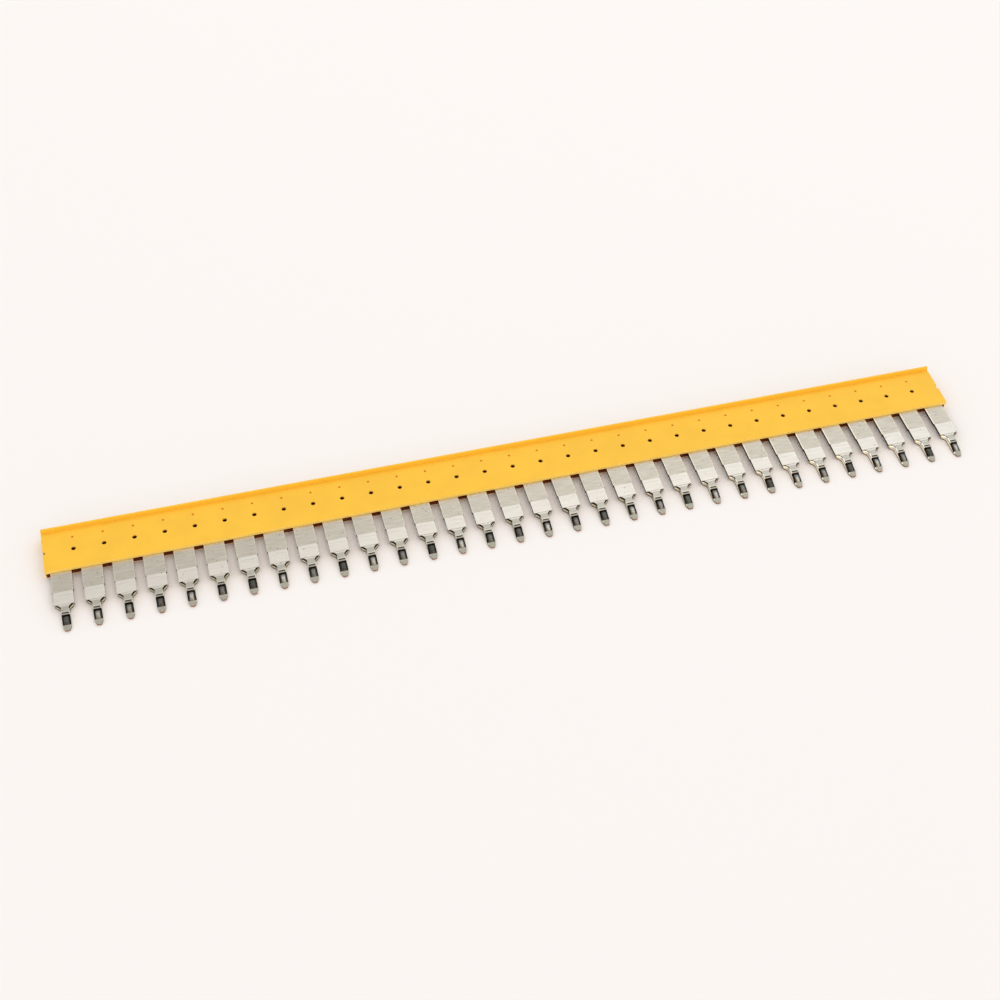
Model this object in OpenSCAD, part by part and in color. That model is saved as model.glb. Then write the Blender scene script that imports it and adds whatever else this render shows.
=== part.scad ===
// Terminal block jumper bar, cut to length: a moulded insulating channel grips the
// back of a stamped contact comb, whose fingers end in folded plug-in pins. Each pin
// has a window in its top, and a bowed contact spring shows in it.
// The bar runs along X, the pins point to -Y, and Z = 0 is the face that it lies on.

/* [Bar] */
// Number of poles, each with one contact finger
poles = 32; // [2:1:32]
// Distance from one pole to the next
pitch = 7.9; // [7.4:0.1:9]

/* [Housing] */
// Hole row to the front edge, where the fingers come out
front_reach = 6.25; // [5.5:0.05:8]
// Hole row to the back edge
back_reach = 7.6; // [7:0.05:9]
// Wall above the comb
top_wall = 0.95; // [0.8:0.05:1.5]
// Wall below the comb
bottom_wall = 1.05; // [0.9:0.05:1.5]
// Setback of the wall below the comb from the front edge
lip_back = 0.4; // [0.2:0.05:1]
// Solid back behind the slot
back_wall = 2.4; // [1.8:0.05:3]
// Height of the rib along the back edge
rib_h = 1.1; // [0.5:0.05:1.5]
// Thickness of that rib
rib_w = 0.65; // [0.5:0.05:1]
// Width of the shallow step in front of the rib
step_w = 0.75; // [0.3:0.05:1.2]
// Depth of that step
step_d = 0.1; // [0.05:0.01:0.2]
// Rounding of the front and top edges
edge_r = 0.3; // [0.1:0.05:0.4]
// Rounding of the rib's left end
rib_end_r = 0.7; // [0.3:0.05:1]
// Diameter of the holes between the poles
hole_d = 1.25; // [0.8:0.05:1.4]
// Diameter of the small blind dimples behind the holes
dimple_d = 0.5; // [0.3:0.05:0.8]
// Depth of those dimples
dimple_depth = 0.4; // [0.2:0.05:0.6]
// Hole row to dimple row
dimple_reach = 3.95; // [3:0.05:4.5]
// Diameter of the faint round moulding marks between the holes
mark_d = 1.2; // [0.8:0.05:2]
// Depth of those marks
mark_depth = 0.02; // [0.01:0.01:0.1]

/* [Comb] */
// Thickness of the comb's sheet
sheet_t = 0.8; // [0.6:0.05:1]
// Width of a finger where it leaves the housing
blade_w = 5.4; // [4.6:0.05:6]
// Width of a finger past its bend
ramp_w = 5.05; // [4:0.05:5.2]
// Housing edge to the bend
blade_len = 6.55; // [5:0.05:8]
// Length of the sloping stretch after the bend
ramp_len = 4.5; // [4.4:0.05:5]
// Fall of that stretch
ramp_drop = 0.15; // [0:0.01:0.3]
// Bend to the shoulders, along the finger's sides
side_len = 4.05; // [3.5:0.05:4.4]
// Radius of the relief notches at the bend
notch_r = 0.18; // [0.1:0.01:0.3]
// Housing edge to the root of the gap between two fingers, inwards
root_depth = 1.75; // [1:0.05:3]

/* [Pins] */
// Width of a pin
pin_w = 2.16; // [1.8:0.02:2.4]
// Width of a pin's tip
tip_w = 1.25; // [0.9:0.05:1.6]
// Height of a pin's tip
tip_h = 0.55; // [0.4:0.05:0.8]
// Rounding of the tip's corners in plan
tip_r = 0.25; // [0.1:0.05:0.4]
// End of the shoulder's curve to the pressed groove
neck_len = 1.2; // [0.8:0.05:2]
// Width of that groove
groove_w = 0.35; // [0.1:0.05:0.4]
// Depth of that groove
groove_d = 0.25; // [0.05:0.01:0.3]
// Pressed groove to the window
strip_len = 0.6; // [0.4:0.05:1.2]
// Length of the window
window_len = 2.8; // [2.2:0.05:3]
// Pin's top to the tops of the walls beside the window
sill_d = 0.5; // [0.3:0.05:0.6]
// Window to the tip
tip_len = 1.4; // [1.2:0.05:2.5]
// Thickness of a pin's folded walls and roof
fold_t = 0.25; // [0.2:0.01:0.3]
// Radius of the folds along a pin's top and round its shoulders
fold_r = 0.2; // [0.1:0.01:0.25]

/* [Springs] */
// Thickness of a contact spring
spring_t = 0.2; // [0.12:0.01:0.25]
// Rise of its bow above the pin's top
bow_rise = 0.15; // [0:0.01:0.2]
// Length of each end tucked under the pin's roof
tuck_len = 0.2; // [0.1:0.05:0.25]
// Radius of its crown across the pin
crown_r = 1.4; // [1:0.05:3]

/* [Clearances] */
// Gap above and below the comb in its slot
slot_gap = 0.05; // [0.02:0.01:0.1]
// Gap behind the comb in its slot
back_gap = 0.2; // [0.1:0.05:0.4]
// Comb's setback from each cut end of the housing
end_gap = 0.15; // [0.05:0.05:0.4]
// Gap between a contact spring and the pin's walls
spring_gap = 0.03; // [0.01:0.01:0.05]

/* [Hidden] */
$fn = 48;
eps = 0.01;
reach = 20;

body_l = poles * pitch;
slot_h = sheet_t + 2 * slot_gap;
body_t = bottom_wall + slot_h + top_wall;

// Stations along Y, from the hole row at 0 towards the tips
y_slot = back_reach - back_wall;
y_comb = y_slot - back_gap;
y_front = -front_reach;
y_root = y_front + root_depth;
y_bend = y_front - blade_len;
y_ramp = y_bend - ramp_len;
y_side = y_bend - side_len;
shoulder_r = (ramp_w - pin_w) / 2;
y_neck = y_side - shoulder_r;
y_groove = y_neck - neck_len;
y_window = y_groove - strip_len;
y_pocket = y_window + tuck_len + 2 * spring_gap;
y_sill = y_window - window_len;
y_tip = y_sill - tip_len;

// Heights of the comb's top
z_sheet = bottom_wall + slot_gap;
z_blade = z_sheet + sheet_t;
z_neck = z_blade - ramp_drop;
slope = (z_neck - tip_h) / (y_groove - y_tip);

// Bow of a contact spring, which passes just under the roof's edges at the window's ends
bow_h = bow_rise + fold_t + spring_gap;
bow_r = (pow(window_len / 2, 2) + bow_h * bow_h) / (2 * bow_h);
bow_arc = 2 * asin((window_len / 2 + tuck_len) / bow_r);

// The whole bar's own centre
x_mid = body_l / 2;
y_mid = (back_reach + y_tip) / 2;

function spring_name(i) = str("contact_spring_", i < 10 ? "0" : "", i);
SPRINGS = [for (i = [1:poles]) spring_name(i)];

// Height of a pin's top at a station past the groove
function z_top(y) = tip_h + slope * (y - y_tip);

// Puts the hole row's coordinates into the bar's own frame
module in_frame() {
    translate([-x_mid, -y_mid, 0]) children();
}

// Extrudes a Y-Z outline along X, between two stations
module along_x(x0, x1) {
    translate([x0, 0, 0]) rotate([90, 0, 90]) linear_extrude(x1 - x0) children();
}

// Extrudes an X-Z outline along Y, between two stations
module along_y(y0, y1) {
    translate([0, y1, 0]) rotate([90, 0, 0]) linear_extrude(y1 - y0) children();
}

// A square whose far upper corner is rounded, for an edge to be cut to
module rounded_edge(r) {
    difference() {
        square([r + eps, r + eps]);
        circle(r);
    }
}

// Cross-section of the moulded channel, in Y and Z
module housing_section() {
    difference() {
        union() {
            translate([y_front, 0]) square([back_reach - y_front, body_t]);
            translate([back_reach - rib_w, 0]) square([rib_w, body_t + rib_h]);
        }
        translate([y_front - eps, bottom_wall]) square([y_slot - y_front + eps, slot_h]);
        translate([y_front - eps, -eps]) square([lip_back + eps, bottom_wall + 2 * eps]);
        translate([back_reach - rib_w - step_w, body_t - step_d]) square([step_w, 1]);
        translate([y_front + edge_r, body_t - edge_r]) mirror([1, 0]) rounded_edge(edge_r);
        translate([back_reach - edge_r, body_t + rib_h - edge_r]) rounded_edge(edge_r);
    }
}

// A row of upright cylinders along the hole row, one at each station
module row(first, last, offset, y, z, d, h) {
    for (i = [first:last]) {
        translate([i * pitch + offset, y, z]) cylinder(d = d, h = h);
    }
}

module housing() {
    color([0.98, 0.74, 0.2]) in_frame() difference() {
        along_x(0, body_l) housing_section();
        row(0, poles, 0, 0, bottom_wall + slot_h / 2, hole_d, top_wall + slot_h);
        row(0, poles, 0, dimple_reach, body_t - dimple_depth, dimple_d, 1);
        row(0, poles - 1, pitch / 2, 0, body_t - mark_depth, mark_d, 1);
        along_y(back_reach - rib_w - eps, back_reach + eps) {
            translate([rib_end_r, body_t + rib_h - rib_end_r]) mirror([1, 0]) rounded_edge(rib_end_r);
            translate([body_l - edge_r, body_t + rib_h - edge_r]) rounded_edge(edge_r);
        }
    }
}

// Flat stretch of the comb: the strip in the slot and the fingers up to their bends
module comb_flat() {
    translate([0, 0, z_sheet]) linear_extrude(sheet_t) difference() {
        union() {
            translate([end_gap, y_root]) square([body_l - 2 * end_gap, y_comb - y_root]);
            for (i = [0:poles - 1]) {
                translate([(i + 0.5) * pitch - blade_w / 2, y_bend]) square([blade_w, y_root - y_bend + eps]);
            }
        }
        for (i = [0:poles]) {
            translate([i * pitch, 0]) circle(d = hole_d);
        }
        for (i = [0:poles - 1], s = [-1, 1]) {
            translate([(i + 0.5) * pitch + s * blade_w / 2, y_bend]) circle(notch_r);
        }
    }
}

// Plan of a finger from its bend to its tip
module finger_plan() {
    polygon([
        [-ramp_w / 2, y_bend], [-ramp_w / 2, y_neck], [-pin_w / 2, y_neck], [-pin_w / 2, y_sill],
        [-tip_w / 2, y_tip + tip_r], [tip_w / 2, y_tip + tip_r],
        [pin_w / 2, y_sill], [pin_w / 2, y_neck], [ramp_w / 2, y_neck], [ramp_w / 2, y_bend]
    ]);
    for (s = [-1, 1]) {
        translate([s * (tip_w / 2 - tip_r), y_tip + tip_r]) circle(tip_r);
    }
    translate([tip_r - tip_w / 2, y_tip]) square([tip_w - 2 * tip_r, tip_r + eps]);
}

// Side view of a finger from its bend to its tip, filled down to the bottom of its walls
module finger_side() {
    lead = tip_h / 3;
    y_wall = y_side + fold_t;
    polygon([
        [y_bend, z_sheet], [y_bend, z_blade], [y_ramp, z_neck], [y_groove, z_neck],
        [y_tip, tip_h], [y_tip, lead], [y_tip + lead, 0], [y_wall, 0],
        [y_wall, z_blade - ramp_drop * (y_bend - y_wall) / ramp_len - sheet_t]
    ]);
}

// Hollow under the roof, open at the bottom, that leaves the folded walls standing
module finger_hollow() {
    in_w = pin_w - 2 * fold_t;
    y_end = y_sill - tip_len / 2;
    intersection() {
        translate([0, 0, -eps]) linear_extrude(z_blade) difference() {
            union() {
                translate([-reach / 2, y_neck]) square([reach, reach]);
                translate([-in_w / 2, y_end]) square([in_w, y_neck - y_end + eps]);
            }
            for (s = [-1, 1]) {
                translate([s * ramp_w / 2, y_neck]) circle(shoulder_r + fold_t);
            }
        }
        along_x(-reach, reach) polygon([
            [y_end, -1], [y_end, z_top(y_end) - fold_t], [y_pocket, z_top(y_pocket) - fold_t],
            [y_pocket, z_neck - sheet_t], [y_ramp, z_neck - sheet_t], [y_bend, z_sheet], [y_bend, -1]
        ]);
    }
}

// Stretch of edge cutter that runs from the origin towards -Y, for the edge above +X
module edge_run(len) {
    along_y(-len, 0) translate([-fold_r, -fold_r]) rounded_edge(fold_r);
}

// What a finger's shoulder and the folds' outer radius leave off its +X side
module fold_cut() {
    taper = (pin_w - tip_w) / 2;
    taper_len = tip_len - tip_r;
    translate([ramp_w / 2, y_neck, z_neck]) rotate_extrude() {
        translate([0, -z_neck - eps]) square([shoulder_r, z_neck + eps]);
        translate([shoulder_r + fold_r, -fold_r]) mirror([1, 0]) rounded_edge(fold_r);
        square([shoulder_r + fold_r, ramp_drop + eps]);
    }
    translate([pin_w / 2, y_neck, z_neck]) edge_run(neck_len);
    translate([pin_w / 2, y_groove, z_neck]) rotate([atan(slope), 0, 0]) edge_run(y_groove - y_sill);
    translate([pin_w / 2, y_sill, z_top(y_sill)])
        rotate([atan(slope * taper_len / norm([taper, taper_len])), 0, -atan(taper / taper_len)])
        edge_run(2 * tip_len);
}

// One finger from its bend to its tip, centred on X = 0
module finger() {
    flare = (ramp_w - shoulder_r) / 2;
    difference() {
        intersection() {
            linear_extrude(z_blade) finger_plan();
            along_x(-ramp_w, ramp_w) finger_side();
        }
        finger_hollow();
        for (s = [0, 1]) {
            mirror([s, 0, 0]) along_y(y_neck, y_side + 1) polygon([
                [flare, -eps], [ramp_w / 2 + eps, -eps], [ramp_w / 2 + eps, z_neck - sheet_t]
            ]);
            mirror([s, 0, 0]) fold_cut();
        }
        along_x(-pin_w, pin_w) polygon([
            [y_groove - groove_w / 2, z_neck + eps], [y_groove, z_neck - groove_d],
            [y_groove + groove_w / 2, z_neck + eps]
        ]);
        along_x(-pin_w, pin_w) polygon([
            [y_window, z_neck + 1], [y_window, z_top(y_window) - sill_d],
            [y_sill, z_top(y_sill) - sill_d], [y_sill, z_neck + 1]
        ]);
    }
}

module contact_comb() {
    color([0.78, 0.76, 0.7]) in_frame() {
        comb_flat();
        for (i = [0:poles - 1]) {
            translate([(i + 0.5) * pitch, 0, 0]) finger();
        }
    }
}

// Bowed and crowned leaf in the window of pin i, its ends tucked under the roof
module contact_spring(i) {
    w = pin_w - 2 * fold_t - 2 * spring_gap;
    y_c = (y_window + y_sill) / 2;
    color([0.4, 0.42, 0.4]) in_frame()
        translate([(i - 0.5) * pitch, y_c, z_top(y_c)])
        rotate([atan(slope), 0, 0])
        translate([0, 0, bow_rise - bow_r])
        rotate([0, 90, 0])
        rotate([0, 0, 180 - bow_arc / 2])
        rotate_extrude(angle = bow_arc, $fn = 64)
        intersection() {
            translate([bow_r - 1, -w / 2]) square([1, w]);
            difference() {
                translate([bow_r - crown_r, 0]) circle(crown_r);
                translate([bow_r - crown_r - spring_t, 0]) circle(crown_r);
            }
        }
}

housing();
contact_comb();
for (i = [1:poles]) contact_spring(i);
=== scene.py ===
"""Looks of a terminal block jumper bar: finishes, contact springs, camera, table and light.

Everything is in metres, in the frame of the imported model: X runs along the row of poles, the
pins point to -Y, and Z = 0 is the face that the bar lies on.
"""

import logging
import math
from dataclasses import astuple, dataclass, field
from enum import Enum
from functools import reduce

import bmesh
import bpy
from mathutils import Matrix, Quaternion, Vector


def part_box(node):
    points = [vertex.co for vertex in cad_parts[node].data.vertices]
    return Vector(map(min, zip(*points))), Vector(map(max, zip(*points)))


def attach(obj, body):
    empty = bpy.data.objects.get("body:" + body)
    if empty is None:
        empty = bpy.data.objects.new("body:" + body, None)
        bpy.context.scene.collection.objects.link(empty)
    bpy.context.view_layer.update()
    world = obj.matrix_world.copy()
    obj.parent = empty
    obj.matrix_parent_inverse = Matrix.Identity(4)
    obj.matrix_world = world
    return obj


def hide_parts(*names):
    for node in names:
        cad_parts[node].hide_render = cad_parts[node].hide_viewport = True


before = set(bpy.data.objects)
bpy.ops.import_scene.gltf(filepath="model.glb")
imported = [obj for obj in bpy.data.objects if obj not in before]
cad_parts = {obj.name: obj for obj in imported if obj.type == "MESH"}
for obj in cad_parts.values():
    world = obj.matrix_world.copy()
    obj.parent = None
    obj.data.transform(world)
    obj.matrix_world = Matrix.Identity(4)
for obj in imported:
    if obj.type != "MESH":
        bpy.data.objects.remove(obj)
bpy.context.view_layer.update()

log = logging.getLogger("jumper_bar")

Colour = tuple[float, float, float]
Span = tuple[float, float]
Link = bpy.types.NodeSocket
MM = 0.001
BODY = "root"
SPRING = "contact_spring_"


class Op(Enum):
    """Arithmetic that the shader and geometry trees use."""

    ADD = "ADD"
    SUBTRACT = "SUBTRACT"
    MULTIPLY = "MULTIPLY"
    DIVIDE = "DIVIDE"
    POWER = "POWER"
    SQRT = "SQRT"
    ABSOLUTE = "ABSOLUTE"
    FLOOR = "FLOOR"
    MAXIMUM = "MAXIMUM"
    SINE = "SINE"
    COSINE = "COSINE"
    MODULO = "MODULO"


class Blend(Enum):
    """Ways in which one colour is laid over another."""

    MIX = "MIX"
    MULTIPLY = "MULTIPLY"


def rgba(colour: Colour) -> tuple[float, float, float, float]:
    """The colour with full opacity."""
    return (*colour, 1.0)


class Sheet:
    """A node tree that is written as plain expressions."""

    def __init__(self, tree: bpy.types.NodeTree) -> None:
        """Keeps the tree that the nodes go into."""
        self.tree = tree

    def node(self, kind: str, inputs: dict[str | int, object] | None = None,
             **settings: object) -> bpy.types.Node:
        """Adds a node.

        Args:
            kind: The node's type name in Blender.
            inputs: What feeds its inputs, by name or number.
            settings: Properties to set on it.

        Returns:
            The new node.
        """
        made = self.tree.nodes.new(kind)
        for name, value in settings.items():
            setattr(made, name, value)
        for key, value in (inputs or {}).items():
            self.feed(made.inputs[key], value)
        return made

    def feed(self, socket: Link, value: object) -> None:
        """Links or sets an input.

        Args:
            socket: The input.
            value: Another node's output, or a constant.
        """
        if isinstance(value, Link):
            self.tree.links.new(value, socket)
        else:
            socket.default_value = value

    def math(self, op: Op, *values: object, clamp: bool = False) -> Link:
        """Adds a sum of one or two values.

        Args:
            op: What is done with them.
            values: Outputs or constants.
            clamp: Whether the result is held between 0 and 1.

        Returns:
            The result's output.
        """
        return self.node("ShaderNodeMath", dict(enumerate(values)), operation=op.value,
                         use_clamp=clamp).outputs[0]

    def times(self, *values: object) -> Link:
        """Adds the product of the values."""
        return reduce(lambda done, value: self.math(Op.MULTIPLY, done, value), values)

    def most(self, *values: object) -> Link:
        """Adds the largest of the values."""
        return reduce(lambda done, value: self.math(Op.MAXIMUM, done, value), values)

    def plus(self, value: object, more: object) -> Link:
        """Adds the sum of two values."""
        return self.math(Op.ADD, value, more)

    def minus(self, value: object, less: object) -> Link:
        """Adds the difference of two values."""
        return self.math(Op.SUBTRACT, value, less)

    def size(self, value: object) -> Link:
        """Adds a value without its sign."""
        return self.math(Op.ABSOLUTE, value)

    def step(self, value: object, low: object, high: object) -> Link:
        """Adds a smooth step from 0 at low to 1 at high.

        Args:
            value: What is measured.
            low: Where the result leaves 0.
            high: Where the result reaches 1.

        Returns:
            The step's output.
        """
        return self.node("ShaderNodeMapRange", {"Value": value, "From Min": low, "From Max": high},
                         interpolation_type="SMOOTHSTEP").outputs["Result"]

    def above(self, value: object, place: float, soft: float) -> Link:
        """Adds a mask that is 1 above a place, with a slope that reaches soft to each side."""
        return self.step(value, place - soft, place + soft)

    def below(self, value: object, place: float, soft: float) -> Link:
        """Adds a mask that is 1 below a place, with a slope that reaches soft to each side."""
        return self.step(value, place + soft, place - soft)

    def band(self, value: object, low: float, high: float, soft: float) -> Link:
        """Adds a mask that is 1 between two values, with ends that are soft long."""
        return self.times(self.above(value, low, soft / 2), self.below(value, high, soft / 2))

    def colour(self, amount: object, below: object, above: object, how: Blend = Blend.MIX) -> Link:
        """Adds a mix of two colours.

        Args:
            amount: Share of the second one.
            below: The first colour.
            above: The second colour.
            how: How the second lies over the first.

        Returns:
            The mixed colour's output.
        """
        made = self.node("ShaderNodeMix", {"Factor": amount}, data_type="RGBA",
                         blend_type=how.value)
        sockets = [socket for socket in made.inputs if socket.type == "RGBA"]
        for socket, value in zip(sockets, (below, above)):
            self.feed(socket, rgba(value) if isinstance(value, tuple) else value)
        return next(socket for socket in made.outputs if socket.type == "RGBA")

    def blend(self, amount: object, below: object, above: object) -> Link:
        """Adds a mix of two plain values.

        Args:
            amount: Share of the second one.
            below: The first value.
            above: The second value.

        Returns:
            The mixed value's output.
        """
        return self.node("ShaderNodeMix", {"Factor": amount, "A": below, "B": above},
                         data_type="FLOAT").outputs["Result"]

    def noise(self, point: object, scale: object, detail: float = 2.0, rough: float = 0.5) -> Link:
        """Adds a noise texture.

        Args:
            point: Where it is read.
            scale: Waves in a metre.
            detail: Number of finer layers.
            rough: Strength of the finer layers.

        Returns:
            The noise's value, about 0.5 on average.
        """
        return self.node("ShaderNodeTexNoise", {"Vector": point, "Scale": scale, "Detail": detail,
                                                "Roughness": rough}).outputs[0]

    def vector(self, x: object = 0.0, y: object = 0.0, z: object = 0.0) -> Link:
        """Adds a vector made of three values."""
        return self.node("ShaderNodeCombineXYZ", {"X": x, "Y": y, "Z": z}).outputs[0]

    def split(self, vector: Link) -> bpy.types.NodeOutputs:
        """Adds a node that splits a vector, and gives its X, Y and Z."""
        return self.node("ShaderNodeSeparateXYZ", {0: vector}).outputs

    def bump(self, height: object, strength: float, distance: float,
             under: Link | None = None) -> Link:
        """Adds a bump.

        Args:
            height: The height, in steps.
            strength: Share of the bump that shows.
            distance: Real height of a full step.
            under: The normal that it is laid over, or None for the plain one.

        Returns:
            The bumped normal.
        """
        made = self.node("ShaderNodeBump", {"Strength": strength, "Distance": distance,
                                            "Height": height})
        if under is not None:
            self.feed(made.inputs["Normal"], under)
        return made.outputs["Normal"]


@dataclass(frozen=True)
class Socket:
    """One named input or output of a shader group.

    Attributes:
        name: What it is called.
        kind: Its type name in Blender.
        value: Its default value, for an input.
    """

    name: str
    kind: str = "NodeSocketFloat"
    value: object = None


class ShaderGroup:
    """A shader node group with named inputs and outputs, built once and placed in materials."""

    NAME = "group"
    INPUTS: tuple[Socket, ...] = ()
    OUTPUTS: tuple[Socket, ...] = ()

    def __init__(self) -> None:
        """Builds the group's tree."""
        self.tree = bpy.data.node_groups.new(self.NAME, "ShaderNodeTree")
        for direction, sockets in (("INPUT", self.INPUTS), ("OUTPUT", self.OUTPUTS)):
            for socket in sockets:
                made = self.tree.interface.new_socket(socket.name, in_out=direction,
                                                      socket_type=socket.kind)
                if socket.value is not None:
                    made.default_value = socket.value
        sheet = Sheet(self.tree)
        given = sheet.node("NodeGroupInput").outputs
        sheet.node("NodeGroupOutput", self.build(sheet, given))

    def build(self, sheet: Sheet, given: bpy.types.NodeOutputs) -> dict[str | int, object]:
        """Writes the group's nodes.

        Args:
            sheet: The group's tree.
            given: Its inputs.

        Returns:
            The value of each output.
        """
        raise NotImplementedError

    def place(self, sheet: Sheet, **values: object) -> bpy.types.NodeOutputs:
        """Puts the group into a material.

        Args:
            sheet: The material's tree.
            values: Values of the inputs, by their names in small letters.

        Returns:
            The group's outputs.
        """
        inputs = {name.capitalize(): value for name, value in values.items()}
        return sheet.node("ShaderNodeGroup", inputs, node_tree=self.tree).outputs


class PoleMap(ShaderGroup):
    """Says where a point lies within its own pole of the bar."""

    NAME = "pole_map"
    INPUTS = (Socket("Point", "NodeSocketVector"), Socket("Pitch", value=7.9 * MM),
              Socket("Start", value=0.0))
    OUTPUTS = (Socket("Across"), Socket("Along"), Socket("Height"), Socket("Pole"))

    def build(self, sheet: Sheet, given: bpy.types.NodeOutputs) -> dict[str | int, object]:
        """Folds X back into one pitch, about the finger's middle.

        Args:
            sheet: The group's tree.
            given: Its inputs.

        Returns:
            The value of each output.
        """
        point = sheet.split(given["Point"])
        pole = sheet.math(Op.DIVIDE, sheet.minus(point["X"], given["Start"]), given["Pitch"])
        whole = sheet.math(Op.FLOOR, pole)
        share = sheet.minus(sheet.minus(pole, whole), 0.5)
        return {"Across": sheet.times(share, given["Pitch"]), "Along": point["Y"],
                "Height": point["Z"], "Pole": whole}


class RolledLines(ShaderGroup):
    """Fine lines across the fingers, left by rolling and wiping, with scratches and small pits."""

    NAME = "rolled_lines"
    INPUTS = (Socket("Point", "NodeSocketVector"), Socket("Fineness", value=4200.0),
              Socket("Length", value=0.06))
    OUTPUTS = (Socket("Lines"), Socket("Scratches"), Socket("Specks"))
    SCRATCH_SCALE = 0.35
    SCRATCHED: Span = (0.66, 0.72)
    SPECK_SCALE = 0.4
    PITTED: Span = (0.77, 0.81)

    def build(self, sheet: Sheet, given: bpy.types.NodeOutputs) -> dict[str | int, object]:
        """Reads noise that is stretched along X, and plain noise for the pits.

        Args:
            sheet: The group's tree.
            given: Its inputs.

        Returns:
            The value of each output.
        """
        point, fineness = given["Point"], given["Fineness"]
        squeeze = sheet.vector(given["Length"], 1.0, 1.0)
        stretched = sheet.node("ShaderNodeVectorMath", {0: point, 1: squeeze},
                               operation="MULTIPLY").outputs[0]
        scratches = sheet.noise(stretched, sheet.times(fineness, self.SCRATCH_SCALE), detail=1.0)
        specks = sheet.noise(point, sheet.times(fineness, self.SPECK_SCALE), detail=0.0)
        return {"Lines": sheet.noise(stretched, fineness, detail=3.0),
                "Scratches": sheet.step(scratches, *self.SCRATCHED),
                "Specks": sheet.step(specks, *self.PITTED)}


class MouldedGrain(ShaderGroup):
    """Faint grain and cloudiness of a moulded plastic surface."""

    NAME = "moulded_grain"
    INPUTS = (Socket("Point", "NodeSocketVector"), Socket("Fineness", value=5000.0))
    OUTPUTS = (Socket("Grain"), Socket("Cloud"))
    CLOUD_SCALE = 0.03

    def build(self, sheet: Sheet, given: bpy.types.NodeOutputs) -> dict[str | int, object]:
        """Reads a fine and a broad noise.

        Args:
            sheet: The group's tree.
            given: Its inputs.

        Returns:
            The value of each output.
        """
        point, fineness = given["Point"], given["Fineness"]
        return {"Grain": sheet.noise(point, fineness, detail=3.0, rough=0.6),
                "Cloud": sheet.noise(point, sheet.times(fineness, self.CLOUD_SCALE))}


def new_material(name: str) -> tuple[bpy.types.Material, Sheet, bpy.types.Node]:
    """Starts a material.

    Args:
        name: The material's name.

    Returns:
        The material, its tree and its Principled shader.
    """
    made = bpy.data.materials.new(name)
    made.use_nodes = True
    return made, Sheet(made.node_tree), made.node_tree.nodes["Principled BSDF"]


def object_point(sheet: Sheet) -> tuple[Link, bpy.types.NodeOutputs]:
    """Where a point of the object lies, and the X, Y and Z of the way its surface faces."""
    coordinates = sheet.node("ShaderNodeTexCoord").outputs
    return coordinates["Object"], sheet.split(coordinates["Normal"])


@dataclass(frozen=True)
class BarSizes:
    """Sizes of the bar that the finishes and the springs need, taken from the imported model.

    Attributes:
        poles: Number of fingers.
        pitch: Distance from one finger to the next.
        x_start: The bar's left cut end.
        y_front: The housing's front edge.
        y_back: The housing's back edge.
        y_tip: The pins' tips.
        z_roof: The housing's top face, in front of its rib.
    """

    poles: int
    pitch: float
    x_start: float
    y_front: float
    y_back: float
    y_tip: float
    z_roof: float

    @classmethod
    def measured(cls, roof: float, rib: float) -> "BarSizes":
        """Reads the sizes from the frame.

        Args:
            roof: Height of the housing's top face.
            rib: Height of the rib above it.

        Returns:
            The sizes, in metres.
        """
        low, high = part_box("housing")
        poles = sum(name.startswith(SPRING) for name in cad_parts)
        assert abs(roof + rib - high.z) < 0.01 * MM, "the housing's height has changed"
        return cls(poles, (high.x - low.x) / poles, low.x, low.y, high.y,
                   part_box("contact_comb")[0].y, roof)


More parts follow.
